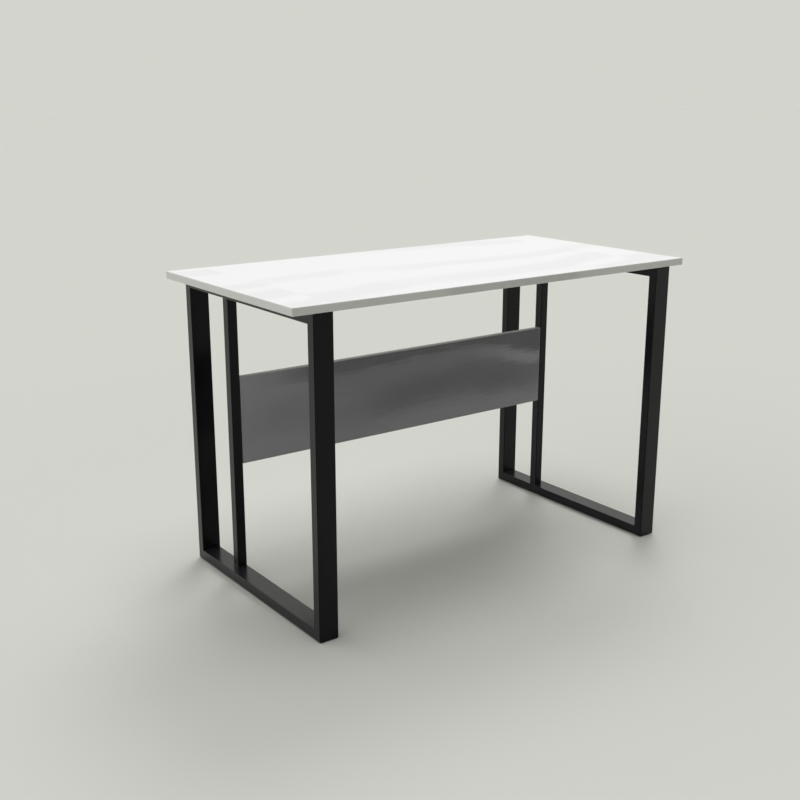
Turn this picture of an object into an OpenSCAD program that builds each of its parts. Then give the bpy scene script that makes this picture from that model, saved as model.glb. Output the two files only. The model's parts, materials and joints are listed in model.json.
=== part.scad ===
// Desk: an edge-banded board on two closed loops of steel tube, with a modesty panel
// held between the loops' middle posts.
// +X runs along the desktop, -Y is the sitter's side and +Z is up.
// The origin is on the floor, under the middle of the desktop. All sizes are in millimetres.

/* [Desktop] */
// Length of the desktop, from left to right
desk_length = 1200; // [1000:10:1800]
// Depth of the desktop, from front to rear
desk_depth = 600; // [500:10:900]
// Thickness of the desktop
desk_thickness = 18; // [16:1:30]
// Thickness of the plastic band glued round the edges of both boards
band_thickness = 2; // [1.6:0.1:3]
// Radius that eases the outer edges of the bands
edge_radius = 1.5; // [0.5:0.1:1.5]

/* [Loop frames] */
// Height of a loop frame, from the underside of its bottom rail to the desktop
frame_height = 750; // [650:5:1100]
// Width of the loop's tube, across the loop
tube_width = 50; // [40:1:70]
// Depth of the loop's tube, in the plane of the loop
tube_depth = 25; // [20:1:40]
// Wall thickness of every tube
tube_wall = 1.5; // [1.2:0.1:1.8]
// Outer corner radius of every tube
tube_corner = 2; // [2:0.1:4]
// Distance from the end of the desktop to the outer face of the loop
frame_inset = 50; // [20:5:200]

/* [Middle posts] */
// Side of the square tube of a middle post
post_side = 25; // [25:1:40]
// Distance from the desktop's rear edge to the rear face of a post
post_setback = 147.5; // [110:0.5:180]

/* [Modesty panel] */
// Height of the panel
panel_height = 223; // [180:1:350]
// Thickness of the panel
panel_thickness = 16; // [12:1:18]
// Gap between the desktop and the top edge of the panel
panel_drop = 229.5; // [100:0.5:300]
// Clearance between each end of the panel and its post
panel_end_gap = 0.5; // [0.3:0.1:2]

/* [Panel tabs] */
// Length of a tab, from its post
tab_length = 30; // [26:1:45]
// Height of a tab
tab_height = 50; // [44:1:60]
// Thickness of a tab
tab_thickness = 3; // [2:0.5:3]
// Radius of the tab's two free corners
tab_corner = 6; // [3:0.5:10]
// Distance from the panel's top or bottom edge to the tab beside it
tab_margin = 25; // [10:1:35]
// Leg length of the weld bead behind a tab
weld_leg = 2; // [1:0.1:2.5]

/* [Desktop fixings] */
// Number of screws in each top rail
screws_per_rail = 3; // [2:1:4]
// Distance from the desktop's front or rear edge to the first screw
screw_inset = 70; // [50:5:100]
// Diameter of the screw's shank
screw_diameter = 6; // [5:0.5:7]
// Diameter of the screw's button head
head_diameter = 11; // [10:0.5:12]
// Height of the screw's button head
head_height = 3.3; // [3:0.1:4]
// Width across the flats of the hex socket in the head
socket_width = 4; // [3:0.5:5]
// Depth of the hex socket
socket_depth = 2; // [1:0.1:2.5]
// Diameter of the washer
washer_diameter = 14; // [13:0.5:15]
// Thickness of the washer
washer_thickness = 1.2; // [0.8:0.1:2]
// Outer diameter of the threaded insert
insert_diameter = 10; // [9:0.5:12]
// Thickness of board left over the insert
insert_cover = 5; // [3:0.5:8]
// Number of barbs round the insert
insert_barbs = 4; // [2:1:6]
// Depth of the grooves between the barbs
barb_depth = 0.5; // [0.2:0.1:0.7]
// Length of the insert's thread left free past the screw's tip
thread_spare = 1; // [0.5:0.5:3]

/* [Panel screws] */
// Distance between the two screws of a tab
tab_screw_pitch = 26; // [20:1:30]
// Diameter of the shank
panel_screw_diameter = 4; // [3.5:0.5:5]
// Diameter of the pan head
panel_head_diameter = 8; // [7:0.5:9]
// Height of the pan head
panel_head_height = 2.4; // [2:0.1:3]
// Width of a slot of the cross recess in the head
cross_width = 1; // [0.6:0.1:1.4]
// Length of a slot of the cross recess
cross_length = 4.4; // [3:0.1:5]
// Depth of the cross recess
cross_depth = 1.4; // [0.8:0.1:1.8]
// Thickness of panel left in front of the screw's tip
panel_screw_cover = 4; // [3:0.5:6]

/* [Plastic plugs] */
// Diameter of the access hole under each desktop screw
access_diameter = 16; // [15:0.5:18]
// Diameter of the cap that closes it
cap_diameter = 20; // [19.5:0.5:24]
// Thickness of the cap's flange
cap_flange = 1.2; // [1:0.1:2]
// Depth of the cap's plug inside the rail
cap_plug_depth = 6; // [5:0.5:7]
// Diameter of a floor glide
glide_diameter = 22; // [18:0.5:30]
// Height of the glide under the bottom rail
glide_height = 2; // [1.5:0.1:6]
// Diameter of the hole that takes the glide's stem
stem_hole = 8; // [7:0.5:12]
// Depth of the glide's stem inside the rail
stem_depth = 9; // [6:0.5:11]
// Distance from the loop's front or rear face to the glide's centre
glide_inset = 50; // [45:1:100]
// Skin thickness of the caps and glides
plug_skin = 1.2; // [0.8:0.1:1.4]
// Height of the ridge that snaps behind the tube's wall
snap_ridge = 0.4; // [0.2:0.1:0.6]
// Chamfer round the flange of a cap or glide
plug_chamfer = 0.5; // [0.2:0.1:0.8]

/* [Clearances] */
// Radial clearance of a piece pressed or screwed into its hole
press_gap = 0.05; // [0.02:0.01:0.1]
// Radial clearance of a plastic plug in its hole
plug_gap = 0.1; // [0.05:0.01:0.2]
// Radial clearance of a screw through steel
screw_gap = 0.4; // [0.2:0.1:0.6]

/* [Hidden] */

$fn = 48;
LEFT = -1;
RIGHT = 1;
FRONT = -1;
REAR = 1;
LOWER = -1;
UPPER = 1;

WHITE = "whitesmoke";
BLACK = [0.09, 0.1, 0.1];
GRAPHITE = [0.33, 0.33, 0.34];
ZINC = "silver";
PLASTIC = [0.15, 0.15, 0.15];

desk_size = [desk_length, desk_depth, desk_thickness];
frame_top = glide_height + frame_height;
frame_x = desk_length / 2 - frame_inset - tube_width / 2;
post_face = desk_length / 2 - frame_inset - tube_width;
post_y = desk_depth / 2 - post_setback - post_side / 2;
tube_section = [tube_width, tube_depth];
post_section = [post_side, post_side];
post_length = frame_height - 2 * tube_depth;

panel_size = [2 * (post_face - panel_end_gap), panel_height, panel_thickness];
panel_z = frame_top - panel_drop - panel_height / 2;
panel_front = post_y - post_side / 2;
panel_rear = panel_front + panel_thickness;
tab_rise = panel_height / 2 - tab_margin - tab_height / 2;

insert_length = desk_thickness - insert_cover;
screw_seat = frame_top - tube_wall;
screw_length = washer_thickness + tube_wall + insert_length - thread_spare;
panel_screw_length = tab_thickness + panel_thickness - panel_screw_cover;

// Distances of the desktop screws from the middle of a rail, front to rear
screw_reach = desk_depth / 2 - screw_inset;
screw_places = [for (i = [0 : screws_per_rail - 1]) screw_reach * (2 * i / (screws_per_rail - 1) - 1)];
glide_reach = desk_depth / 2 - glide_inset;

// ---- Shared shapes ----

// Rectangle of the given size, centred, with its corners rounded
module rounded_rectangle(size, r) {
    square([size.x - 2 * r, size.y], center = true);
    square([size.x, size.y - 2 * r], center = true);
    for (x = [-1, 1], y = [-1, 1])
        translate([x * (size.x / 2 - r), y * (size.y / 2 - r)])
            circle(r = r);
}

// Block of the given size, centred, with every edge eased
module eased_block(size) {
    intersection() {
        linear_extrude(height = size.z, center = true)
            rounded_rectangle([size.x, size.y], edge_radius);
        rotate([90, 0, 0])
            linear_extrude(height = size.y, center = true)
                rounded_rectangle([size.x, size.z], edge_radius);
        rotate([90, 0, 90])
            linear_extrude(height = size.x, center = true)
                rounded_rectangle([size.y, size.z], edge_radius);
    }
}

// What lies inside the bands of a board that lies flat and centred
module board_core(size) {
    cube([size.x - 2 * band_thickness, size.y - 2 * band_thickness, size.z], center = true);
}

// Band along one long edge of such a board, over the ends of the short bands
module long_band(size, side) {
    mirror([0, side < 0 ? 1 : 0, 0])
        intersection() {
            eased_block(size);
            translate([-size.x, size.y / 2 - band_thickness, -size.z])
                cube([2 * size.x, size.y, 2 * size.z]);
        }
}

// Band along one short edge of such a board, between the long bands
module short_band(size, side) {
    length = size.y - 2 * band_thickness;
    mirror([side < 0 ? 1 : 0, 0, 0])
        intersection() {
            eased_block(size);
            translate([size.x / 2 - band_thickness, -length / 2, -size.z])
                cube([size.x, length, 2 * size.z]);
        }
}

// Box tube along Z, centred, hollow and open at both ends
module box_tube(section, length) {
    bore = [section.x - 2 * tube_wall, section.y - 2 * tube_wall];
    linear_extrude(height = length, center = true)
        difference() {
            rounded_rectangle(section, tube_corner);
            rounded_rectangle(bore, tube_corner - tube_wall);
        }
}

// Tube of a loop, along Z and centred, mitred at both ends: its -Y face is the loop's outer one
module mitred_tube(length) {
    outer = length / 2 + tube_depth / 2;
    inner = length / 2 - 3 * tube_depth / 2;
    intersection() {
        box_tube(tube_section, 2 * outer);
        rotate([90, 0, 90])
            linear_extrude(height = 2 * tube_width, center = true)
                polygon([
                    [-tube_depth, -outer],
                    [tube_depth, -inner],
                    [tube_depth, inner],
                    [-tube_depth, outer]
                ]);
    }
}

// Ball cap for a screw's head, from z = 0 down to its crown
module head_dome(diameter, height) {
    dome_radius = (pow(diameter / 2, 2) + pow(height, 2)) / (2 * height);
    intersection() {
        translate([0, 0, dome_radius - height])
            sphere(r = dome_radius);
        translate([0, 0, -height])
            cylinder(d = diameter, h = height);
    }
}

// Hollow plastic plug through a tube's wall: its flange lies under z = 0, and a ridge snaps
// behind the wall
module snap_plug(flange_diameter, flange_height, hole_diameter, depth) {
    flange_radius = flange_diameter / 2;
    shank = hole_diameter / 2 - plug_gap;
    ridge_start = tube_wall + plug_gap;
    rotate_extrude()
        polygon([
            [0, -flange_height],
            [flange_radius - plug_chamfer, -flange_height],
            [flange_radius, plug_chamfer - flange_height],
            [flange_radius, 0],
            [shank, 0],
            [shank, ridge_start],
            [shank + snap_ridge, ridge_start + snap_ridge],
            [shank, ridge_start + 3 * snap_ridge],
            [shank, depth],
            [shank - plug_skin, depth],
            [shank - plug_skin, plug_skin - flange_height],
            [0, plug_skin - flange_height]
        ]);
}

// Copies its child to each desktop screw's place in both top rails
module at_desktop_screws(z) {
    for (side = [LEFT, RIGHT], y = screw_places)
        translate([side * frame_x, y, z])
            children();
}

// Moves its child to a tab: the post's inner face is x = 0 and the panel's rear face is y = 0
module at_tab(side, level) {
    translate([side * post_face, panel_rear, panel_z + level * tab_rise])
        mirror([side == RIGHT ? 1 : 0, 0, 0])
            children();
}

// Copies its child to the two screws of a tab, with +Z towards the panel's front
module at_tab_screws() {
    for (row = [LOWER, UPPER])
        translate([tab_length / 2, 0, row * tab_screw_pitch / 2])
            rotate([90, 0, 0])
                children();
}

// ---- Desktop ----

module desktop_place() {
    translate([0, 0, frame_top + desk_thickness / 2])
        children();
}

module desktop_board() {
    color(WHITE)
        difference() {
            desktop_place()
                board_core(desk_size);
            at_desktop_screws(frame_top - insert_length)
                cylinder(d = insert_diameter + 2 * press_gap, h = 2 * insert_length);
        }
}

module desktop_long_band(side) {
    color(WHITE)
        desktop_place()
            long_band(desk_size, side);
}

module desktop_short_band(side) {
    color(WHITE)
        desktop_place()
            short_band(desk_size, side);
}

// ---- Loop frames ----

// Puts one mitred side of a loop in place: 0 front, 1 bottom, 2 rear, 3 top
module loop_side(side, quarter, length, reach) {
    translate([side * frame_x, 0, glide_height + frame_height / 2])
        rotate([90 * quarter, 0, 0])
            translate([0, tube_depth / 2 - reach / 2, 0])
                mitred_tube(length);
}

module upright(side, end) {
    color(BLACK)
        loop_side(side, end == FRONT ? 0 : 2, frame_height, desk_depth);
}

module bottom_rail(side) {
    color(BLACK)
        difference() {
            loop_side(side, 1, desk_depth, frame_height);
            for (end = [FRONT, REAR])
                translate([side * frame_x, end * glide_reach, 0])
                    cylinder(d = stem_hole, h = glide_height + tube_depth / 2);
        }
}

module top_rail(side) {
    color(BLACK)
        difference() {
            loop_side(side, 3, desk_depth, frame_height);
            for (y = screw_places)
                translate([side * frame_x, y, frame_top - 2 * tube_depth]) {
                    cylinder(d = access_diameter, h = 3 * tube_depth / 2);
                    cylinder(d = screw_diameter + 2 * screw_gap, h = 3 * tube_depth);
                }
        }
}

module middle_post(side) {
    color(BLACK)
        translate([side * (post_face + post_side / 2), post_y, glide_height + frame_height / 2])
            box_tube(post_section, post_length);
}

// ---- Modesty panel ----

// Stands a flat board up in the panel's place: its +Y edge becomes the top one
module panel_place() {
    translate([0, panel_front + panel_thickness / 2, panel_z])
        rotate([90, 0, 0])
            children();
}

module panel_board() {
    color(GRAPHITE)
        difference() {
            panel_place()
                board_core(panel_size);
            for (side = [LEFT, RIGHT], level = [LOWER, UPPER])
                at_tab(side, level)
                    at_tab_screws()
                        cylinder(
                            d = panel_screw_diameter + 2 * press_gap,
                            h = 2 * (panel_thickness - panel_screw_cover),
                            center = true
                        );
        }
}

module panel_long_band(side) {
    color(GRAPHITE)
        panel_place()
            long_band(panel_size, side);
}

module panel_short_band(side) {
    color(GRAPHITE)
        panel_place()
            short_band(panel_size, side);
}

// Flat steel tab, square at its weld and rounded at its free end
module panel_tab(side, level) {
    color(BLACK)
        at_tab(side, level) {
            difference() {
                translate([0, tab_thickness, 0])
                    rotate([90, 0, 0])
                        linear_extrude(height = tab_thickness)
                            intersection() {
                                rounded_rectangle([2 * tab_length, tab_height], tab_corner);
                                translate([0, -tab_height / 2])
                                    square([tab_length, tab_height]);
                            }
                at_tab_screws()
                    cylinder(d = panel_screw_diameter + 2 * screw_gap, h = 4 * tab_thickness, center = true);
            }
            translate([0, tab_thickness, 0])
                linear_extrude(height = tab_height - 2 * weld_leg, center = true)
                    polygon([[0, 0], [weld_leg, 0], [0, weld_leg]]);
        }
}

// ---- Fixings ----

module panel_screw() {
    difference() {
        union() {
            head_dome(panel_head_diameter, panel_head_height);
            cylinder(d = panel_screw_diameter, h = panel_screw_length);
        }
        for (turn = [0, 90])
            translate([0, 0, -panel_head_height])
                rotate([0, 0, turn])
                    cube([cross_length, cross_width, 2 * cross_depth], center = true);
    }
}

module panel_screws() {
    color(ZINC)
        for (side = [LEFT, RIGHT], level = [LOWER, UPPER])
            at_tab(side, level)
                translate([0, tab_thickness, 0])
                    at_tab_screws()
                        panel_screw();
}

module desktop_screws() {
    color(ZINC)
        at_desktop_screws(screw_seat - washer_thickness)
            difference() {
                union() {
                    head_dome(head_diameter, head_height);
                    cylinder(d = screw_diameter, h = screw_length);
                }
                translate([0, 0, -head_height])
                    cylinder(d = socket_width / cos(30), h = 2 * socket_depth, center = true, $fn = 6);
            }
}

module desktop_washers() {
    color(ZINC)
        at_desktop_screws(screw_seat - washer_thickness)
            difference() {
                cylinder(d = washer_diameter, h = washer_thickness);
                cylinder(d = screw_diameter + 2 * screw_gap, h = 3 * washer_thickness, center = true);
            }
}

// Barbed insert: a ring whose outside is a row of saw teeth
module threaded_insert() {
    outer = insert_diameter / 2;
    bore = screw_diameter / 2 + press_gap;
    pitch = insert_length / insert_barbs;
    rotate_extrude()
        polygon([
            [bore, 0],
            for (i = [0 : insert_barbs - 1])
                each [[outer, i * pitch], [outer - barb_depth, (i + 1) * pitch]],
            [bore, insert_length]
        ]);
}

module desktop_inserts() {
    color(ZINC)
        at_desktop_screws(frame_top)
            threaded_insert();
}

module access_caps() {
    color(PLASTIC)
        at_desktop_screws(frame_top - tube_depth)
            snap_plug(cap_diameter, cap_flange, access_diameter, cap_plug_depth);
}

module floor_glide(side, end) {
    color(PLASTIC)
        translate([side * frame_x, end * glide_reach, glide_height])
            snap_plug(glide_diameter, glide_height, stem_hole, stem_depth);
}

// ---- Nodes ----

desktop_board();
desktop_long_band(FRONT);  // desktop_front_band
desktop_long_band(REAR);  // desktop_rear_band
desktop_short_band(LEFT);  // desktop_left_band
desktop_short_band(RIGHT);  // desktop_right_band

upright(LEFT, FRONT);  // left_front_upright
upright(LEFT, REAR);  // left_rear_upright
top_rail(LEFT);  // left_top_rail
bottom_rail(LEFT);  // left_bottom_rail
middle_post(LEFT);  // left_middle_post
upright(RIGHT, FRONT);  // right_front_upright
upright(RIGHT, REAR);  // right_rear_upright
top_rail(RIGHT);  // right_top_rail
bottom_rail(RIGHT);  // right_bottom_rail
middle_post(RIGHT);  // right_middle_post

panel_board();
panel_long_band(UPPER);  // panel_top_band
panel_long_band(LOWER);  // panel_bottom_band
panel_short_band(LEFT);  // panel_left_band
panel_short_band(RIGHT);  // panel_right_band
panel_tab(LEFT, UPPER);  // left_upper_tab
panel_tab(LEFT, LOWER);  // left_lower_tab
panel_tab(RIGHT, UPPER);  // right_upper_tab
panel_tab(RIGHT, LOWER);  // right_lower_tab

panel_screws();
desktop_screws();
desktop_washers();
desktop_inserts();
access_caps();
floor_glide(LEFT, FRONT);  // left_front_glide
floor_glide(LEFT, REAR);  // left_rear_glide
floor_glide(RIGHT, FRONT);  // right_front_glide
floor_glide(RIGHT, REAR);  // right_rear_glide
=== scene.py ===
import json
from math import pi, radians
from typing import NamedTuple

import bpy
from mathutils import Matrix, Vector


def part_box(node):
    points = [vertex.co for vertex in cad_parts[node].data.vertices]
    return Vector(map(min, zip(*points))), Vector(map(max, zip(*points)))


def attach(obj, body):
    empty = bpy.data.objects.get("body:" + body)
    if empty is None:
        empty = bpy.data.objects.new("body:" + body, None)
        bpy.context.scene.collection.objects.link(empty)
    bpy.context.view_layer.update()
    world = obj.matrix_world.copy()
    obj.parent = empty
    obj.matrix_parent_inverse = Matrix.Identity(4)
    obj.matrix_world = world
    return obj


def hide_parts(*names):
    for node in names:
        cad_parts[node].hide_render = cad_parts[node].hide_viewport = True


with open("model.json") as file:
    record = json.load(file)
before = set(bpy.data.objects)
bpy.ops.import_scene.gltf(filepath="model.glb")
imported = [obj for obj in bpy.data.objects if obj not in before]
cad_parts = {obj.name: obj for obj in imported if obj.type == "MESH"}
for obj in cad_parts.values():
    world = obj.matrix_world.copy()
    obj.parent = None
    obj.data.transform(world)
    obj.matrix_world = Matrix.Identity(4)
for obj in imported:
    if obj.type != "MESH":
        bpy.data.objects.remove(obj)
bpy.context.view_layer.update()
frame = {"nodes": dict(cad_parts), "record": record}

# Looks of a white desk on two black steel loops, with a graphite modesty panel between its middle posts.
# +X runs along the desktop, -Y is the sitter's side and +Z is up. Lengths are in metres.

BODY = "root"

# ---- Camera: its tilt from straight down and its turn from +Y, in degrees ----

CAMERA_PLACE = (-1.7371, -2.2253, 1.1953)
CAMERA_TILT = 74.465
CAMERA_TURN = -36.203
CAMERA_LENS = 50.0
CAMERA_SENSOR = 36.0

# ---- Light: azimuth from +X towards +Y, elevation and breadth of each lamp, in degrees ----

LAMPS = {
    "rear_right_lamp": {"azimuth": 42.0, "elevation": 51.0, "strength": 0.6, "breadth": 19.5},
    "overhead_softbox": {"azimuth": -66.0, "elevation": 85.5, "strength": 1.05, "breadth": 41.5},
    "rear_right_softbox": {"azimuth": 43.0, "elevation": 55.5, "strength": 0.875, "breadth": 55.0},
    "rear_left_softbox": {"azimuth": 149.0, "elevation": 23.0, "strength": 1.36, "breadth": 106.0},
}
DOME_STRENGTH = 0.093
BACKDROP = (0.651, 0.665, 0.611, 1.0)
# Painted shade: the floor's colour is deeper near the desk, fading to the backdrop's tone further off.
PAINTED_SHADE_NEAR_FLOOR = (0.631, 0.645, 0.593, 1.0)
NEAR_FLOOR_ENDS = 0.7
FAR_FLOOR_STARTS = 3.0
FLOOR_REACH = 60.0

# ---- Sizes that the pieces made here share with the frame ----

TUBE_CORNER = 0.002
TAB_WELD_LEG = 0.002
PANEL_SCREW = {
    "Shank Diameter": 0.004,
    "Shank Length": 0.015,
    "Thread Pitch": 0.0016,
    "Thread Depth": 0.0006,
    "Head Diameter": 0.008,
    "Head Height": 0.0024,
    "Recess Width": 0.001,
    "Recess Length": 0.0044,
    "Recess Depth": 0.0014,
    "Hex Socket": False,
}
DESKTOP_SCREW = {
    "Shank Diameter": 0.006,
    "Shank Length": 0.0147,
    "Thread Pitch": 0.001,
    "Thread Depth": 0.0005,
    "Head Diameter": 0.011,
    "Head Height": 0.0033,
    "Recess Width": 0.004,
    "Recess Length": 0.004,
    "Recess Depth": 0.002,
    "Hex Socket": True,
}

# ---- Node trees ----

VALUE = "NodeSocketFloat"
WHOLE = "NodeSocketInt"
SWITCH = "NodeSocketBool"
VECTOR = "NodeSocketVector"
SHAPE = "NodeSocketGeometry"
FINISH = "NodeSocketMaterial"
SHADER_TREE = "ShaderNodeTree"
GEOMETRY_TREE = "GeometryNodeTree"


class Sheet:
    """A node tree to place nodes in. Its operations take plain values, sockets and nodes alike."""

    def __init__(self, tree):
        self.tree = tree

    def add(self, kind, inputs=None, **settings):
        """Places a node, with its settings and its inputs."""
        made = self.tree.nodes.new(kind)
        for name, value in settings.items():
            setattr(made, name, value)
        for name, value in (inputs or {}).items():
            self.feed(made.inputs[name], value)
        return made

    def feed(self, socket, value):
        """Links a node's first output or a socket to an input, or sets the input to a plain value."""
        if isinstance(value, bpy.types.Node):
            value = next(output for output in value.outputs if output.enabled)
        if isinstance(value, bpy.types.NodeSocket):
            self.tree.links.new(value, socket)
        else:
            socket.default_value = value

    def math(self, operation, first, second=0.0):
        return self.add("ShaderNodeMath", {0: first, 1: second}, operation=operation).outputs[0]

    def plus(self, first, second):
        return self.math("ADD", first, second)

    def minus(self, first, second):
        return self.math("SUBTRACT", first, second)

    def times(self, first, second):
        return self.math("MULTIPLY", first, second)

    def over(self, first, second):
        return self.math("DIVIDE", first, second)

    def square(self, value):
        return self.math("POWER", value, 2.0)

    def vector_math(self, operation, first, second=(0.0, 0.0, 0.0)):
        return self.add("ShaderNodeVectorMath", {0: first, 1: second}, operation=operation)

    def split(self, vector):
        return self.add("ShaderNodeSeparateXYZ", {"Vector": vector}).outputs

    def join(self, x=0.0, y=0.0, z=0.0):
        return self.add("ShaderNodeCombineXYZ", {"X": x, "Y": y, "Z": z})

    def between(self, factor, first, second):
        """Goes from the first value to the second as the factor goes from 0 to 1."""
        return self.add("ShaderNodeMix", {0: factor, 2: first, 3: second}, data_type="FLOAT").outputs[0]

    def tint(self, factor, first, second):
        """Goes from the first colour to the second as the factor goes from 0 to 1."""
        return self.add("ShaderNodeMix", {0: factor, 6: first, 7: second}, data_type="RGBA").outputs[2]

    def share(self, value, low, high, kind="LINEAR", clamp=True):
        """Place of a value between low and high, from 0 to 1."""
        span = {"Value": value, "From Min": low, "From Max": high}
        return self.add("ShaderNodeMapRange", span, interpolation_type=kind, clamp=clamp).outputs[0]

    def noise(self, vector, scale, detail=2.0, roughness=0.5):
        inputs = {"Vector": vector, "Scale": scale, "Detail": detail, "Roughness": roughness}
        return self.add("ShaderNodeTexNoise", inputs).outputs[0]

    def curve(self, value, points):
        """Smooth curve through points of (value, result), each from 0 to 1."""
        made = self.add("ShaderNodeFloatCurve", {"Value": value})
        line = made.mapping.curves[0]
        for x, y in points[1:-1]:
            line.points.new(x, y)
        line.points[0].location = points[0]
        line.points[-1].location = points[-1]
        made.mapping.update()
        return made.outputs[0]

    def group(self, tree, inputs):
        """Places a shared group, with its own values."""
        return self.add("ShaderNodeGroup", inputs, node_tree=tree).outputs


def new_tree(name, kind, inputs, outputs):
    """An empty node tree with named inputs and outputs, its sheet, its input sockets and its end node."""
    tree = bpy.data.node_groups.new(name, kind)
    for label, (socket_kind, default) in inputs.items():
        socket = tree.interface.new_socket(label, in_out="INPUT", socket_type=socket_kind)
        if default is not None:
            socket.default_value = default
    for label, socket_kind in outputs.items():
        tree.interface.new_socket(label, in_out="OUTPUT", socket_type=socket_kind)
    sheet = Sheet(tree)
    return tree, sheet, sheet.add("NodeGroupInput").outputs, sheet.add("NodeGroupOutput")


def grey(value):
    """Plain grey."""
    return (value, value, value, 1.0)


def cool(value):
    """Grey with a faint blue cast."""
    return (value, 0.985 * value, 1.06 * value, 1.0)


def warm(value):
    """Grey with a faint yellow cast."""
    return (0.99 * value, value, 0.955 * value, 1.0)


# ---- Shared shader effects ----


def soft_band_group():
    """Mask of a soft-edged stripe: 1 on its middle line, fading to 0 at its width on either side."""
    inputs = {"Across": (VALUE, 0.0), "Middle": (VALUE, 0.0), "Width": (VALUE, 0.05), "Fade": (VALUE, 0.7)}
    tree, sheet, given, end = new_tree("soft_band", SHADER_TREE, inputs, {"Mask": VALUE})
    away = sheet.math("ABSOLUTE", sheet.minus(given["Across"], given["Middle"]))
    near = sheet.minus(1.0, sheet.over(away, given["Width"]))
    sheet.feed(end.inputs["Mask"], sheet.share(near, 0.0, given["Fade"], "SMOOTHERSTEP"))
    return tree


def streak_group():
    """Fine streaks along an axis, as brushing or extrusion leaves them, from 0 to 1."""
    inputs = {"Vector": (VECTOR, None), "Squeeze": (VECTOR, (0.05, 1.0, 1.0)), "Fineness": (VALUE, 400.0)}
    tree, sheet, given, end = new_tree("streaks", SHADER_TREE, inputs, {"Mask": VALUE})
    drawn = sheet.vector_math("MULTIPLY", given["Vector"], given["Squeeze"])
    sheet.feed(end.inputs["Mask"], sheet.noise(drawn, given["Fineness"], detail=3.0, roughness=0.6))
    return tree


def pebble_group():
    """Pebbled skin of powder coat or moulded plastic: its height and its slow patches, from 0 to 1."""
    inputs = {"Vector": (VECTOR, None), "Pebble Size": (VALUE, 0.001), "Patch Size": (VALUE, 0.2)}
    outputs = {"Height": VALUE, "Patches": VALUE}
    tree, sheet, given, end = new_tree("pebbled_skin", SHADER_TREE, inputs, outputs)
    fineness = sheet.over(1.0, given["Pebble Size"])
    breadth = sheet.over(1.0, given["Patch Size"])
    sheet.feed(end.inputs["Height"], sheet.noise(given["Vector"], fineness, detail=2.0, roughness=0.4))
    sheet.feed(end.inputs["Patches"], sheet.noise(given["Vector"], breadth, detail=3.0))
    return tree


def glue_line_group():
    """Mask of the thin line round a board where its laminate meets the edge bands."""
    inputs = {
        "Place": (VECTOR, None),
        "Middle": (VECTOR, None),
        "Half Size": (VECTOR, (1.0, 1.0, 1.0)),
        "Line Width": (VALUE, 0.0003),
    }
    tree, sheet, given, end = new_tree("glue_line", SHADER_TREE, inputs, {"Mask": VALUE})
    off = sheet.vector_math("ABSOLUTE", sheet.vector_math("SUBTRACT", given["Place"], given["Middle"]))
    x, y, z = sheet.split(sheet.vector_math("SUBTRACT", given["Half Size"], off))
    inset = sheet.math("MINIMUM", sheet.math("MINIMUM", x, y), z)
    sheet.feed(end.inputs["Mask"], sheet.share(inset, given["Line Width"], 0.0))
    return tree


def sway_group():
    """Lets the place across a board sway and feather, so that the bands of painted light laid over it look
    drawn.
    """
    inputs = {
        "Vector": (VECTOR, None),
        "Across": (VALUE, 0.0),
        "Sway": (VALUE, 0.05),
        "Sway Size": (VALUE, 0.1),
        "Feather": (VALUE, 0.06),
        "Squeeze": (VECTOR, (0.08, 1.0, 1.0)),
        "Fineness": (VALUE, 70.0),
    }
    tree, sheet, given, end = new_tree("sway", SHADER_TREE, inputs, {"Across": VALUE})
    broad = sheet.minus(sheet.noise(given["Vector"], sheet.over(1.0, given["Sway Size"])), 0.5)
    drawn = sheet.vector_math("MULTIPLY", given["Vector"], given["Squeeze"])
    fine = sheet.minus(sheet.noise(drawn, given["Fineness"], detail=4.0, roughness=0.65), 0.5)
    moved = sheet.plus(sheet.times(broad, given["Sway"]), given["Across"])
    sheet.feed(end.inputs["Across"], sheet.plus(sheet.times(fine, given["Feather"]), moved))
    return tree


SOFT_BAND = soft_band_group()
SWAY = sway_group()
GLUE_LINE = glue_line_group()
STREAKS = streak_group()
PEBBLES = pebble_group()

# ---- Materials ----

# Half size that takes an axis out of a glue line's search for the nearest edge.
OUT_OF_THE_WAY = 1.0


class PaintedLightBand(NamedTuple):
    """A soft band of painted light or shade laid on a laminate's colour, whose middle and presence are points
    from 0 to 1 along the board.
    """

    colour: tuple
    width: float
    fade: float
    middle: tuple
    presence: tuple


def new_material(name):
    """A material with a plain Principled shader, its sheet, and the coordinates that its patterns use."""
    material = bpy.data.materials.new(name)
    material.use_nodes = True
    material.node_tree.nodes.clear()
    sheet = Sheet(material.node_tree)
    shader = sheet.add("ShaderNodeBsdfPrincipled")
    sheet.add("ShaderNodeOutputMaterial", {"Surface": shader})
    return material, sheet, shader, sheet.add("ShaderNodeTexCoord").outputs["Object"]


def give_bump(sheet, shader, height, depth):
    """Bump of this depth."""
    bump = sheet.add("ShaderNodeBump", {"Height": height, "Distance": depth, "Strength": 1.0})
    sheet.feed(shader.inputs["Normal"], bump)


def give_gloss(sheet, shader, mask, roughness, specular):
    """Roughness that goes from its first value to its second with a mask, and a plain specular level."""
    sheet.feed(shader.inputs["Roughness"], sheet.between(mask, *roughness))
    shader.inputs["Specular IOR Level"].default_value = specular


def lay_painted_light_bands(sheet, colour, along, across, painted_bands):
    """Lays soft bands of painted light and shade over a colour."""
    for band in painted_bands:
        inputs = {
            "Across": across,
            "Middle": sheet.curve(along, band.middle),
            "Width": band.width,
            "Fade": band.fade,
        }
        shown = sheet.times(sheet.group(SOFT_BAND, inputs)["Mask"], sheet.curve(along, band.presence))
        colour = sheet.tint(shown, colour, band.colour)
    return colour


def glued_edges(sheet, colour, place, board, thickness_axis, line):
    """Draws the glue line round a board, on its two faces."""
    low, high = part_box(board)
    half = (high - low) / 2
    half[thickness_axis] = OUT_OF_THE_WAY
    inputs = {"Place": place, "Middle": (low + high) / 2, "Half Size": half}
    return sheet.tint(sheet.group(GLUE_LINE, inputs)["Mask"], colour, line)
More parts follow.
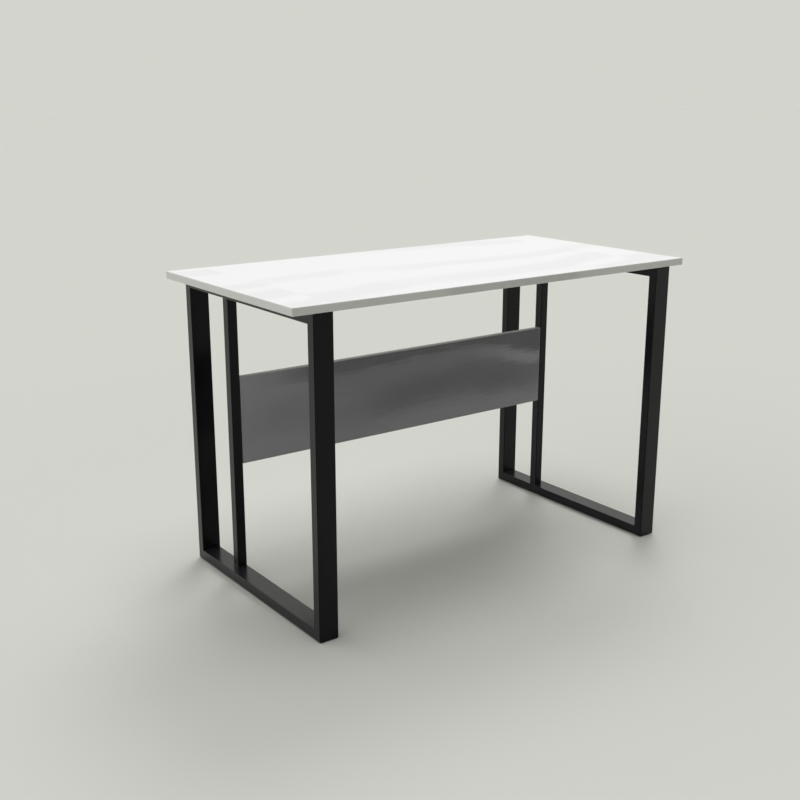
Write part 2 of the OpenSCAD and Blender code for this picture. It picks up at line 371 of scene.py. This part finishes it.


# The desktop's painted reflection bands start this far from its left end, and repeat after this length.
PAINTED_BANDS_START = 0.1
PAINTED_BANDS_REPEAT = 0.987
WHITE = (0.893, 0.89, 0.896, 1.0)
# Painted reflection: barely darker bands of this grey stand in for banded reflections on the satin top.
PAINTED_REFLECTION_GREY = (0.837, 0.834, 0.84, 1.0)
WHITE_GRAIN = grey(0.7)
WHITE_GRAIN_SHARE = 0.03
WHITE_GLUE = warm(0.5)
DESKTOP_PAINTED_REFLECTION_BANDS = (
    PaintedLightBand(
        PAINTED_REFLECTION_GREY, width=0.09, fade=0.7,
        middle=((0.0, 0.543), (0.17, 0.56), (0.25, 0.575), (0.37, 0.522), (0.57, 0.487), (0.74, 0.46),
                (0.92, 0.485), (1.0, 0.5)),
        presence=((0.0, 0.6), (0.2, 0.8), (0.29, 0.3), (0.42, 0.8), (1.0, 0.95)),
    ),
    PaintedLightBand(
        PAINTED_REFLECTION_GREY, width=0.125, fade=0.7,
        middle=((0.0, 0.135), (0.11, 0.137), (0.22, 0.185), (0.44, 0.176), (0.74, 0.187), (0.86, 0.245),
                (1.0, 0.302)),
        presence=((0.0, 1.0), (0.2, 1.0), (0.31, 0.65), (0.44, 0.95), (1.0, 1.0)),
    ),
    PaintedLightBand(
        PAINTED_REFLECTION_GREY, width=0.11, fade=0.7,
        middle=((0.0, 0.93), (0.74, 0.96), (0.92, 0.885), (1.0, 0.88)),
        presence=((0.0, 0.1), (0.4, 0.1), (0.55, 0.5), (0.74, 0.9), (0.92, 1.0), (1.0, 1.0)),
    ),
    PaintedLightBand(
        PAINTED_REFLECTION_GREY, width=0.09, fade=0.7,
        middle=((0.0, 0.0), (0.8, 0.0), (0.92, 0.03), (1.0, 0.085)),
        presence=((0.0, 1.0), (0.05, 0.8), (0.12, 0.2), (0.75, 0.2), (0.87, 1.0), (1.0, 1.0)),
    ),
)


def white_laminate():
    """Satin white laminate with broad, barely darker bands of painted reflection along the desktop, laid in a
    pattern that repeats.
    """
    material, sheet, shader, place = new_material("white_laminate")
    low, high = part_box("desktop_board")
    x, y, _ = sheet.split(place)
    start = low.x + PAINTED_BANDS_START
    along = sheet.math("FRACT", sheet.share(x, start, start + PAINTED_BANDS_REPEAT, clamp=False))
    across = sheet.group(SWAY, {"Vector": place, "Across": sheet.share(y, low.y, high.y)})["Across"]
    painted_bands = lay_painted_light_bands(sheet, WHITE, along, across, DESKTOP_PAINTED_REFLECTION_BANDS)
    grain = sheet.group(STREAKS, {"Vector": place, "Squeeze": (0.03, 1.0, 1.0), "Fineness": 450.0})["Mask"]
    skin = sheet.group(PEBBLES, {"Vector": place, "Pebble Size": 0.0011, "Patch Size": 0.12})
    grained = sheet.tint(sheet.times(grain, WHITE_GRAIN_SHARE), painted_bands, WHITE_GRAIN)
    lined = glued_edges(sheet, grained, place, "desktop_board", thickness_axis=2, line=WHITE_GLUE)
    sheet.feed(shader.inputs["Base Color"], lined)
    give_bump(sheet, shader, skin["Height"], depth=0.00006)
    give_gloss(sheet, shader, skin["Patches"], roughness=(0.46, 0.58), specular=0.2)
    return material


GRAPHITE = cool(0.218)
# Painted light: the panel's left end is painted paler.
PAINTED_PALE_END = cool(0.33)
PAINTED_PALE_END_SHARE = ((0.0, 1.0), (0.15, 0.7), (0.25, 0.25), (0.33, 0.0), (1.0, 0.0))
GRAPHITE_GRAIN = cool(0.4)
GRAPHITE_GRAIN_SHARE = 0.12
GRAPHITE_GLUE = grey(0.05)
# Painted light: painted shade along the panel's top and through its middle, painted light along its bottom
# and left, and a painted reflection streak near its right end.
PANEL_PAINTED_LIGHT_BANDS = (
    PaintedLightBand(
        cool(0.27), width=0.36, fade=1.0,
        middle=((0.0, 0.48), (0.25, 0.48), (1.0, 0.3)),
        presence=((0.0, 0.0), (0.06, 0.3), (0.16, 0.9), (0.26, 0.8), (0.42, 0.2), (0.55, 0.0), (1.0, 0.0)),
    ),
    PaintedLightBand(
        cool(0.365), width=0.45, fade=1.0,
        middle=((0.0, 0.0), (1.0, 0.0)),
        presence=((0.0, 1.0), (0.12, 0.8), (0.25, 0.68), (0.45, 0.78), (0.6, 0.84), (0.9, 0.95), (1.0, 1.0)),
    ),
    PaintedLightBand(
        cool(0.172), width=0.32, fade=1.0,
        middle=((0.0, 0.3), (0.3, 0.4), (0.5, 0.45), (0.7, 0.54), (0.82, 0.48), (1.0, 0.43)),
        presence=((0.0, 0.0), (0.3, 0.0), (0.42, 0.4), (0.52, 0.85), (0.8, 0.8), (0.93, 0.3), (1.0, 0.0)),
    ),
    PaintedLightBand(
        cool(0.225), width=0.19, fade=1.0,
        middle=((0.0, 0.8), (1.0, 0.8)),
        presence=((0.0, 0.0), (0.3, 0.1), (0.5, 0.8), (0.62, 0.4), (0.75, 0.6), (0.85, 0.0), (1.0, 0.0)),
    ),
    PaintedLightBand(
        cool(0.135), width=0.19, fade=0.9,
        middle=((0.0, 0.95), (0.3, 0.96), (0.5, 1.0), (1.0, 1.0)),
        presence=((0.0, 0.0), (0.08, 0.15), (0.16, 0.6), (0.27, 1.0), (1.0, 1.0)),
    ),
    PaintedLightBand(
        cool(0.142), width=0.28, fade=0.9,
        middle=((0.0, 1.0), (0.82, 1.0), (1.0, 0.86)),
        presence=((0.0, 0.0), (0.76, 0.0), (0.88, 1.0), (1.0, 1.0)),
    ),
    PaintedLightBand(
        cool(0.37), width=0.15, fade=0.9,
        middle=((0.0, 0.9), (0.7, 0.86), (0.8, 0.82), (0.886, 0.71), (0.94, 0.65), (1.0, 0.64)),
        presence=((0.0, 0.0), (0.65, 0.0), (0.78, 0.25), (0.88, 0.65), (0.95, 0.95), (1.0, 1.0)),
    ),
)


def graphite_laminate():
    """Dark grey laminate with cloudy bands of painted shade and painted reflection, a painted pale left end,
    and one painted reflection streak near its right end.
    """
    material, sheet, shader, place = new_material("graphite_laminate")
    low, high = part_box("panel_board")
    x, _, z = sheet.split(place)
    along = sheet.share(x, low.x, high.x)
    cloudy = {"Sway": 0.15, "Sway Size": 0.14, "Feather": 0.25, "Fineness": 110.0}
    across = sheet.group(SWAY, {"Vector": place, "Across": sheet.share(z, low.z, high.z), **cloudy})["Across"]
    graphite_with_painted_end = sheet.tint(sheet.curve(along, PAINTED_PALE_END_SHARE), GRAPHITE, PAINTED_PALE_END)
    painted_bands = lay_painted_light_bands(sheet, graphite_with_painted_end, along, across, PANEL_PAINTED_LIGHT_BANDS)
    grain = sheet.group(STREAKS, {"Vector": place, "Squeeze": (0.08, 1.0, 1.0), "Fineness": 700.0})["Mask"]
    skin = sheet.group(PEBBLES, {"Vector": place, "Pebble Size": 0.0009, "Patch Size": 0.1})
    grained = sheet.tint(sheet.times(grain, GRAPHITE_GRAIN_SHARE), painted_bands, GRAPHITE_GRAIN)
    lined = glued_edges(sheet, grained, place, "panel_board", thickness_axis=1, line=GRAPHITE_GLUE)
    sheet.feed(shader.inputs["Base Color"], lined)
    give_bump(sheet, shader, skin["Height"], depth=0.00006)
    give_gloss(sheet, shader, skin["Patches"], roughness=(0.48, 0.60), specular=0.2)
    return material


# Painted shade and light: the white band is greyer than the top, partly its own off-white and partly painted
# shade on the desk's sides; the graphite bands are lighter than the panel's face, as painted light on the
# panel's top edge.
WHITE_BAND_WITH_PAINTED_SHADE = warm(0.765)
DEEP_AND_PAINTED_SHADE_WHITE_BAND = warm(0.65)
GRAPHITE_BAND_WITH_PAINTED_LIGHT = warm(0.4)
DEEP_GRAPHITE_BAND = warm(0.32)
# Where along its board an edge band takes its deep tone as painted shade, and how far its tone drifts
# everywhere at random.
PAINTED_SHADE_MIDDLE = ((0.0, 0.15), (0.1, 0.0), (0.32, 0.0), (0.37, 0.7), (0.46, 0.5), (0.55, 0.8), (0.64, 0.9),
                 (0.7, 0.1), (1.0, 0.0))
NOWHERE = ((0.0, 0.0), (1.0, 0.0))
BAND_DRIFT = 0.3
BAND_LINES_IN_DRIFT = 0.3
BAND_LINES_IN_BUMP = 0.5


def edge_band(name, board, tone, deep_tone, painted_shade_share):
    """Extruded plastic edge band with faint lines along it, and an uneven tone that drifts at random and
    deepens by its share of painted shade.
    """
    material, sheet, shader, place = new_material(name)
    low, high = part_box(board)
    along = sheet.share(sheet.split(place)["X"], low.x, high.x)
    lines = sheet.group(STREAKS, {"Vector": place, "Squeeze": (0.02, 0.02, 1.0), "Fineness": 900.0})["Mask"]
    skin = sheet.group(PEBBLES, {"Vector": place, "Pebble Size": 0.0008, "Patch Size": 0.25})
    drift = sheet.times(sheet.between(BAND_LINES_IN_DRIFT, skin["Patches"], lines), BAND_DRIFT)
    # Painted shade: the share curve darkens the white band over the middle of the desk's length.
    deep = sheet.plus(sheet.curve(along, painted_shade_share), drift)
    sheet.feed(shader.inputs["Base Color"], sheet.tint(deep, tone, deep_tone))
    height = sheet.between(BAND_LINES_IN_BUMP, lines, skin["Height"])
    give_bump(sheet, shader, height, depth=0.00012)
    give_gloss(sheet, shader, lines, roughness=(0.50, 0.62), specular=0.15)
    return material


BLUE_BLACK = (0.005, 0.005, 0.0065, 1.0)
THIN_BLUE_BLACK = (0.009, 0.009, 0.0117, 1.0)


def black_powder_coat():
    """Satin black powder coat with a fine orange-peel skin, dark face on and paler at a glancing angle."""
    material, sheet, shader, place = new_material("black_powder_coat")
    skin = sheet.group(PEBBLES, {"Vector": place, "Pebble Size": 0.0009, "Patch Size": 0.15})
    sheet.feed(shader.inputs["Base Color"], sheet.tint(skin["Patches"], BLUE_BLACK, THIN_BLUE_BLACK))
    give_bump(sheet, shader, skin["Height"], depth=0.00005)
    give_gloss(sheet, shader, skin["Patches"], roughness=(0.18, 0.26), specular=1.0)
    shader.inputs["Specular Tint"].default_value = grey(0.08)
    shader.inputs["Sheen Weight"].default_value = 0.06
    shader.inputs["Sheen Roughness"].default_value = 0.4
    return material


PLASTIC_BLACK = grey(0.012)
WORN_PLASTIC_BLACK = grey(0.02)


def black_plastic():
    """Matt moulded plastic with a spark-eroded grain."""
    material, sheet, shader, place = new_material("black_plastic")
    skin = sheet.group(PEBBLES, {"Vector": place, "Pebble Size": 0.0004, "Patch Size": 0.01})
    sheet.feed(shader.inputs["Base Color"], sheet.tint(skin["Patches"], PLASTIC_BLACK, WORN_PLASTIC_BLACK))
    give_bump(sheet, shader, skin["Height"], depth=0.00003)
    give_gloss(sheet, shader, skin["Height"], roughness=(0.45, 0.65), specular=0.35)
    return material


ZINC_BLUE = (0.60, 0.64, 0.70, 1.0)
ZINC_STRAW = (0.70, 0.67, 0.58, 1.0)


def zinc_plated_steel():
    """Bright zinc plate with a faint blue and straw cast, and turning marks."""
    material, sheet, shader, place = new_material("zinc_plated_steel")
    marks = sheet.group(STREAKS, {"Vector": place, "Squeeze": (1.0, 1.0, 0.2), "Fineness": 2500.0})["Mask"]
    skin = sheet.group(PEBBLES, {"Vector": place, "Pebble Size": 0.0005, "Patch Size": 0.004})
    sheet.feed(shader.inputs["Base Color"], sheet.tint(skin["Patches"], ZINC_BLUE, ZINC_STRAW))
    give_bump(sheet, shader, marks, depth=0.00001)
    give_gloss(sheet, shader, marks, roughness=(0.26, 0.42), specular=0.5)
    shader.inputs["Metallic"].default_value = 1.0
    return material


def pale_floor():
    """Matt studio floor with painted shade that deepens its colour round the desk, and the backdrop's own
    tone further off.
    """
    material, sheet, shader, place = new_material("pale_floor")
    away = sheet.vector_math("LENGTH", place)
    # Painted shade: the floor darkens towards the desk.
    far = sheet.share(away, NEAR_FLOOR_ENDS, FAR_FLOOR_STARTS, "SMOOTHSTEP")
    sheet.feed(shader.inputs["Base Color"], sheet.tint(far, PAINTED_SHADE_NEAR_FLOOR, BACKDROP))
    shader.inputs["Roughness"].default_value = 1.0
    shader.inputs["Specular IOR Level"].default_value = 0.0
    return material


# ---- Shapes that geometry trees make ----

SHARP_EDGE = radians(35)
SHANK_SIDES = 24
RINGS_PER_PITCH = 6.0
# Shares of a thread's flank at which its flat crest ends and its flat root starts.
CREST_ENDS = 0.15
ROOT_STARTS = 0.85
HEAD_SIDES = 48
HEAD_RINGS = 10
# The rings of a head bunch towards its crown as a sine does up to this angle.
CROWN_ANGLE = 0.47 * pi
BEAD_SIDES = 12
CORNER_STEPS = 6
STEPS_PER_RIPPLE = 5
# A bead narrows to this share of its radius at its ends.
BEAD_TIP = 0.2


def screw_tree():
    """A threaded screw on every point, turned by chance, whose round head has a cross or a hex socket."""
    inputs = {
        "Points": (SHAPE, None),
        "Turn": (VECTOR, (0.0, 0.0, 0.0)),
        "Seed": (WHOLE, 1),
        "Finish": (FINISH, None),
    }
    for name, size in PANEL_SCREW.items():
        inputs[name] = (SWITCH if isinstance(size, bool) else VALUE, size)
    tree, sheet, given, end = new_tree("threaded_screws", GEOMETRY_TREE, inputs, {"Geometry": SHAPE})
    body = sheet.add("GeometryNodeMeshBoolean", {"Mesh 2": threaded_shank(sheet, given)}, operation="UNION")
    sheet.feed(body.inputs["Mesh 2"], capped_head(sheet, given))
    recesses = {"False": cross_recess(sheet, given), "True": hex_socket(sheet, given)}
    recess = sheet.add("GeometryNodeSwitch", {"Switch": given["Hex Socket"], **recesses})
    sunk = sheet.join(z=sheet.times(given["Head Height"], -1.0))
    tool = sheet.add("GeometryNodeTransform", {"Geometry": recess, "Translation": sunk})
    cut = sheet.add("GeometryNodeMeshBoolean", {"Mesh 1": body, "Mesh 2": tool}, operation="DIFFERENCE")
    smooth = soft_shading(sheet, cut)
    facing = sheet.add("FunctionNodeEulerToRotation", {0: given["Turn"]})
    places = {"Points": given["Points"], "Instance": smooth, "Rotation": facing}
    placed = sheet.add("GeometryNodeInstanceOnPoints", places)
    chance = sheet.add("FunctionNodeRandomValue", {3: 2 * pi, "Seed": given["Seed"]}, data_type="FLOAT")
    spin = sheet.join(z=chance.outputs[1])
    turned = sheet.add("GeometryNodeRotateInstances", {"Instances": placed, "Rotation": spin})
    finish_geometry(sheet, turned, given["Finish"], end)
    return tree


def threaded_shank(sheet, given):
    """Rod along +Z whose skin follows a helical thread, and narrows at its tip."""
    length, pitch, depth = given["Shank Length"], given["Thread Pitch"], given["Thread Depth"]
    radius = sheet.times(given["Shank Diameter"], 0.5)
    rod = sheet.add(
        "GeometryNodeMeshCylinder",
        {
            "Vertices": SHANK_SIDES,
            "Side Segments": sheet.times(sheet.over(length, pitch), RINGS_PER_PITCH),
            "Radius": radius,
            "Depth": length,
        },
        fill_type="TRIANGLE_FAN",
    )
    x, y, z = sheet.split(sheet.add("GeometryNodeInputPosition"))
    height = sheet.plus(z, sheet.times(length, 0.5))
    turn = sheet.over(sheet.math("ARCTAN2", y, x), 2 * pi)
    phase = sheet.math("FRACT", sheet.minus(sheet.over(height, pitch), turn))
    slope = sheet.math("ABSOLUTE", sheet.minus(sheet.times(phase, 2.0), 1.0))
    groove = sheet.times(sheet.share(slope, CREST_ENDS, ROOT_STARTS), depth)
    tip = sheet.times(sheet.share(sheet.minus(length, height), pitch, 0.0), depth)
    scale = sheet.minus(1.0, sheet.over(sheet.math("MAXIMUM", groove, tip), radius))
    place = sheet.join(sheet.times(x, scale), sheet.times(y, scale), height)
    return sheet.add("GeometryNodeSetPosition", {"Geometry": rod.outputs["Mesh"], "Position": place})


def capped_head(sheet, given):
    """Ball cap from z = 0, where it is widest, down to its crown."""
    height = given["Head Height"]
    radius = sheet.times(given["Head Diameter"], 0.5)
    disc = sheet.add(
        "GeometryNodeMeshCylinder",
        {"Vertices": HEAD_SIDES, "Side Segments": HEAD_RINGS, "Radius": 1.0, "Depth": 1.0},
        fill_type="TRIANGLE_FAN",
    )
    x, y, z = sheet.split(sheet.add("GeometryNodeInputPosition"))
    drop = sheet.times(sheet.math("SINE", sheet.times(sheet.minus(0.5, z), CROWN_ANGLE)), height)
    ball = sheet.over(sheet.plus(sheet.square(radius), sheet.square(height)), sheet.times(height, 2.0))
    below = sheet.plus(sheet.minus(ball, height), drop)
    girth = sheet.math("SQRT", sheet.minus(sheet.square(ball), sheet.square(below)))
    place = sheet.join(sheet.times(x, girth), sheet.times(y, girth), sheet.times(drop, -1.0))
    return sheet.add("GeometryNodeSetPosition", {"Geometry": disc.outputs["Mesh"], "Position": place})


def cross_recess(sheet, given):
    """Two crossed bars, to be cut out of a screw's head."""
    length, width = given["Recess Length"], given["Recess Width"]
    deep = sheet.times(given["Recess Depth"], 2.0)
    first = sheet.add("GeometryNodeMeshCube", {"Size": sheet.join(length, width, deep)})
    second = sheet.add("GeometryNodeMeshCube", {"Size": sheet.join(width, length, deep)})
    both = sheet.add("GeometryNodeMeshBoolean", {"Mesh 2": first}, operation="UNION")
    sheet.feed(both.inputs["Mesh 2"], second)
    return both


def hex_socket(sheet, given):
    """Hexagonal bar, to be cut out of a screw's head."""
    to_corner = sheet.over(given["Recess Width"], 3.0**0.5)
    deep = sheet.times(given["Recess Depth"], 2.0)
    return sheet.add("GeometryNodeMeshCylinder", {"Vertices": 6, "Radius": to_corner, "Depth": deep})


def soft_shading(sheet, shape):
    """Smooth shading, but for the edges that turn sharply."""
    smooth = sheet.add("GeometryNodeSetShadeSmooth", {"Geometry": shape})
    angle = sheet.add("GeometryNodeInputMeshEdgeAngle").outputs["Unsigned Angle"]
    sharp = sheet.add("FunctionNodeCompare", {0: angle, 1: SHARP_EDGE}, operation="GREATER_THAN")
    kept = {"Geometry": smooth, "Selection": sharp, "Shade Smooth": False}
    return sheet.add("GeometryNodeSetShadeSmooth", kept, domain="EDGE")


def finish_geometry(sheet, shape, finish, end):
    """Ends a tree: real geometry, in its finish."""
    real = sheet.add("GeometryNodeRealizeInstances", {"Geometry": shape})
    finished = sheet.add("GeometryNodeSetMaterial", {"Geometry": real, "Material": finish})
    sheet.feed(end.inputs["Geometry"], finished)


def weld_tree():
    """A rippled weld bead along every line, with rounded ends."""
    inputs = {
        "Lines": (SHAPE, None),
        "Bead Radius": (VALUE, 0.0014),
        "Ripple Pitch": (VALUE, 0.0012),
        "Ripple Depth": (VALUE, 0.1),
        "Corner Radius": (VALUE, TUBE_CORNER),
        "Finish": (FINISH, None),
    }
    tree, sheet, given, end = new_tree("weld_beads", GEOMETRY_TREE, inputs, {"Geometry": SHAPE})
    radius, pitch = given["Bead Radius"], given["Ripple Pitch"]
    line = sheet.add("GeometryNodeMeshToCurve", {"Mesh": given["Lines"]})
    corners = {"Curve": line, "Radius": given["Corner Radius"], "Count": CORNER_STEPS}
    line = sheet.add("GeometryNodeFilletCurve", corners, mode="POLY")
    step = sheet.over(pitch, STEPS_PER_RIPPLE)
    line = sheet.add("GeometryNodeResampleCurve", {"Curve": line, "Length": step}, mode="LENGTH")
    reach = sheet.add("GeometryNodeSplineParameter").outputs["Length"]
    whole = sheet.add("GeometryNodeSplineLength").outputs["Length"]
    wave = sheet.math("ABSOLUTE", sheet.math("SINE", sheet.times(sheet.over(reach, pitch), pi)))
    ripple = sheet.minus(1.0, sheet.times(given["Ripple Depth"], sheet.minus(1.0, wave)))
    from_tip = sheet.share(sheet.math("MINIMUM", reach, sheet.minus(whole, reach)), 0.0, radius)
    rounded = sheet.math("SQRT", sheet.minus(1.0, sheet.square(sheet.minus(1.0, from_tip))))
    scale = sheet.times(ripple, sheet.math("MAXIMUM", rounded, BEAD_TIP))
    profile = sheet.add("GeometryNodeCurvePrimitiveCircle", {"Resolution": BEAD_SIDES, "Radius": radius})
    bead = sheet.add(
        "GeometryNodeCurveToMesh",
        {"Curve": line, "Profile Curve": profile.outputs["Curve"], "Scale": scale, "Fill Caps": True},
    )
    finish_geometry(sheet, soft_shading(sheet, bead), given["Finish"], end)
    return tree


def place_in_scene(name, data):
    """A new object of this data, at the origin."""
    made = bpy.data.objects.new(name, data)
    bpy.context.scene.collection.objects.link(made)
    return made


def grow(name, seed, tree, values):
    """Runs a geometry tree on a mesh, and keeps what it makes as a plain mesh object."""
    holder = place_in_scene("holder", seed)
    modifier = holder.modifiers.new("shape", "NODES")
    modifier.node_group = tree
    for item in tree.interface.items_tree:
        if item.item_type == "SOCKET" and item.in_out == "INPUT" and item.name in values:
            modifier[item.identifier] = values[item.name]
    evaluated = holder.evaluated_get(bpy.context.evaluated_depsgraph_get())
    mesh = bpy.data.meshes.new_from_object(evaluated)
    bpy.data.objects.remove(holder)
    piece = place_in_scene(name, mesh)
    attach(piece, BODY)
    return piece


def line_mesh(paths):
    """A mesh of open lines, one through each list of points."""
    points = [point for path in paths for point in path]
    edges = []
    start = 0
    for path in paths:
        edges += [(start + i, start + i + 1) for i in range(len(path) - 1)]
        start += len(path)
    mesh = bpy.data.meshes.new("lines")
    mesh.from_pydata(points, edges, [])
    return mesh


# ---- Pieces ----

SIDES = ("left", "right")
ENDS = ("front", "rear")
LEVELS = ("upper", "lower")


def middle_of(node):
    """Middle of a CAD node's box."""
    low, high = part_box(node)
    return (low + high) / 2


def inner_first(low, high):
    """The two X faces of a box, the one nearer the middle of the desk first."""
    return sorted((low.x, high.x), key=abs)


def panel_screw_points():
    """Two screws through every tab, one above the other."""
    _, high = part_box("panel_screws")
    seat = high.y - PANEL_SCREW["Head Height"]
    top_screw = high.z - PANEL_SCREW["Head Diameter"] / 2
    rise = top_screw - middle_of("left_upper_tab").z
    points = []
    for side in SIDES:
        for level in LEVELS:
            tab = middle_of(f"{side}_{level}_tab")
            points += [Vector((tab.x, seat, tab.z + way * rise)) for way in (-1, 1)]
    return points


def desktop_screw_points():
    """A row of screws through every top rail, one over each access cap."""
    low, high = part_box("desktop_screws")
    seat = low.z + DESKTOP_SCREW["Head Height"]
    reach = high.y - DESKTOP_SCREW["Head Diameter"] / 2
    points = []
    for side in SIDES:
        x = middle_of(f"{side}_top_rail").x
        points += [Vector((x, way * reach, seat)) for way in (-1, 0, 1)]
    return points


def add_screws(finish):
    """Puts threaded screws in the place of the plain ones."""
    tree = screw_tree()
    points = line_mesh([[point] for point in panel_screw_points()])
    facing_rear = {**PANEL_SCREW, "Turn": (pi / 2, 0.0, 0.0), "Finish": finish}
    piece = grow("panel_screws_threaded", points, tree, facing_rear)
    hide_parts("panel_screws")
    points = line_mesh([[point] for point in desktop_screw_points()])
    facing_down = {**DESKTOP_SCREW, "Finish": finish}
    piece = grow("desktop_screws_threaded", points, tree, facing_down)
    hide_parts("desktop_screws")


def tab_weld_lines():
    """Down each tab's back, where it meets its post."""
    paths = []
    for side in SIDES:
        for level in LEVELS:
            low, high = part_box(f"{side}_{level}_tab")
            x = inner_first(low, high)[1]
            y = high.y - TAB_WELD_LEG
            paths.append([(x, y, low.z + TAB_WELD_LEG), (x, y, high.z - TAB_WELD_LEG)])
    return paths


def post_weld_lines():
    """Round the three free sides of each post's foot and head."""
    paths = []
    for side in SIDES:
        low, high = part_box(f"{side}_middle_post")
        inner, outer = inner_first(low, high)
        start = inner + (TUBE_CORNER if outer > inner else -TUBE_CORNER)
        for z in (low.z, high.z):
            paths.append([(start, low.y, z), (outer, low.y, z), (outer, high.y, z), (start, high.y, z)])
    return paths


def corner_weld_lines():
    """Across the inside of each mitred corner of the loops."""
    paths = []
    for side in SIDES:
        floor_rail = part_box(f"{side}_bottom_rail")[1].z
        top_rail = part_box(f"{side}_top_rail")[0].z
        for end in ENDS:
            low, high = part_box(f"{side}_{end}_upright")
            y = high.y if end == "front" else low.y
            for z in (floor_rail, top_rail):
                paths.append([(low.x + TUBE_CORNER, y, z), (high.x - TUBE_CORNER, y, z)])
    return paths


def add_welds(finish):
    """Lays the weld beads of the tabs, the posts and the loops."""
    tree = weld_tree()
    lines = line_mesh(tab_weld_lines())
    tabs = grow("tab_weld_beads", lines, tree, {"Bead Radius": TAB_WELD_LEG, "Finish": finish})
    lines = line_mesh(post_weld_lines() + corner_weld_lines())
    loops = grow("loop_weld_beads", lines, tree, {"Finish": finish})


def dress_frame(finishes):
    """Gives every CAD node the finish that its record names."""
    for row in frame["record"]["subparts"]:
        for place in frame["nodes"][row["node"]].material_slots:
            place.material = finishes[row["material_slot"]]


# ---- Setting ----


def add_floor():
    """A floor that reaches past what the camera sees."""
    mesh = bpy.data.meshes.new("floor")
    corners = [(x * FLOOR_REACH, y * FLOOR_REACH, 0.0) for x, y in ((-1, -1), (1, -1), (1, 1), (-1, 1))]
    mesh.from_pydata(corners, [], [(0, 1, 2, 3)])
    mesh.materials.append(pale_floor())
    floor = place_in_scene("floor", mesh)


def add_lamp(name, azimuth, elevation, strength, breadth):
    """A far lamp, whose breadth is the angle that it fills as the desk sees it."""
    light = bpy.data.lights.new(name, "SUN")
    light.energy = strength
    light.angle = radians(breadth)
    lamp = place_in_scene(name, light)
    lamp.rotation_euler = (radians(90 - elevation), 0.0, radians(azimuth + 90))


def add_world():
    """A soft dome that lights the desk, and that the camera and reflections see as the plain backdrop."""
    world = bpy.data.worlds.new("studio")
    world.use_nodes = True
    world.node_tree.nodes.clear()
    sheet = Sheet(world.node_tree)
    path = sheet.add("ShaderNodeLightPath").outputs
    seen = sheet.math("MAXIMUM", path["Is Camera Ray"], path["Is Glossy Ray"])
    seen = sheet.math("MAXIMUM", seen, path["Is Transmission Ray"])
    dome = sheet.add("ShaderNodeBackground", {"Color": grey(1.0), "Strength": DOME_STRENGTH})
    backdrop = sheet.add("ShaderNodeBackground", {"Color": BACKDROP, "Strength": 1.0})
    shown = sheet.add("ShaderNodeMixShader", {0: seen, 1: dome, 2: backdrop})
    sheet.add("ShaderNodeOutputWorld", {"Surface": shown})
    bpy.context.scene.world = world


def add_camera():
    """A camera that stands before the desk's left end."""
    data = bpy.data.cameras.new("camera")
    data.lens = CAMERA_LENS
    data.sensor_width = CAMERA_SENSOR
    data.clip_end = 10 * FLOOR_REACH
    camera = place_in_scene("camera", data)
    camera.location = CAMERA_PLACE
    camera.rotation_euler = (radians(CAMERA_TILT), 0.0, radians(CAMERA_TURN))
    bpy.context.scene.camera = camera


# ---- Scene ----

add_camera()
add_world()
for lamp_name, lamp in LAMPS.items():
    add_lamp(lamp_name, **lamp)
add_floor()

FINISHES = {
    "white_laminate": white_laminate(),
    "white_edge_band": edge_band(
        "white_edge_band", "desktop_board", WHITE_BAND_WITH_PAINTED_SHADE, DEEP_AND_PAINTED_SHADE_WHITE_BAND, PAINTED_SHADE_MIDDLE
    ),
    "graphite_laminate": graphite_laminate(),
    "graphite_edge_band": edge_band(
        "graphite_edge_band", "panel_board", GRAPHITE_BAND_WITH_PAINTED_LIGHT, DEEP_GRAPHITE_BAND, NOWHERE
    ),
    "black_powder_coat": black_powder_coat(),
    "black_plastic": black_plastic(),
    "zinc_plated_steel": zinc_plated_steel(),
}
dress_frame(FINISHES)
add_screws(FINISHES["zinc_plated_steel"])
add_welds(FINISHES["black_powder_coat"])

bpy.context.scene.view_settings.view_transform = "Standard"
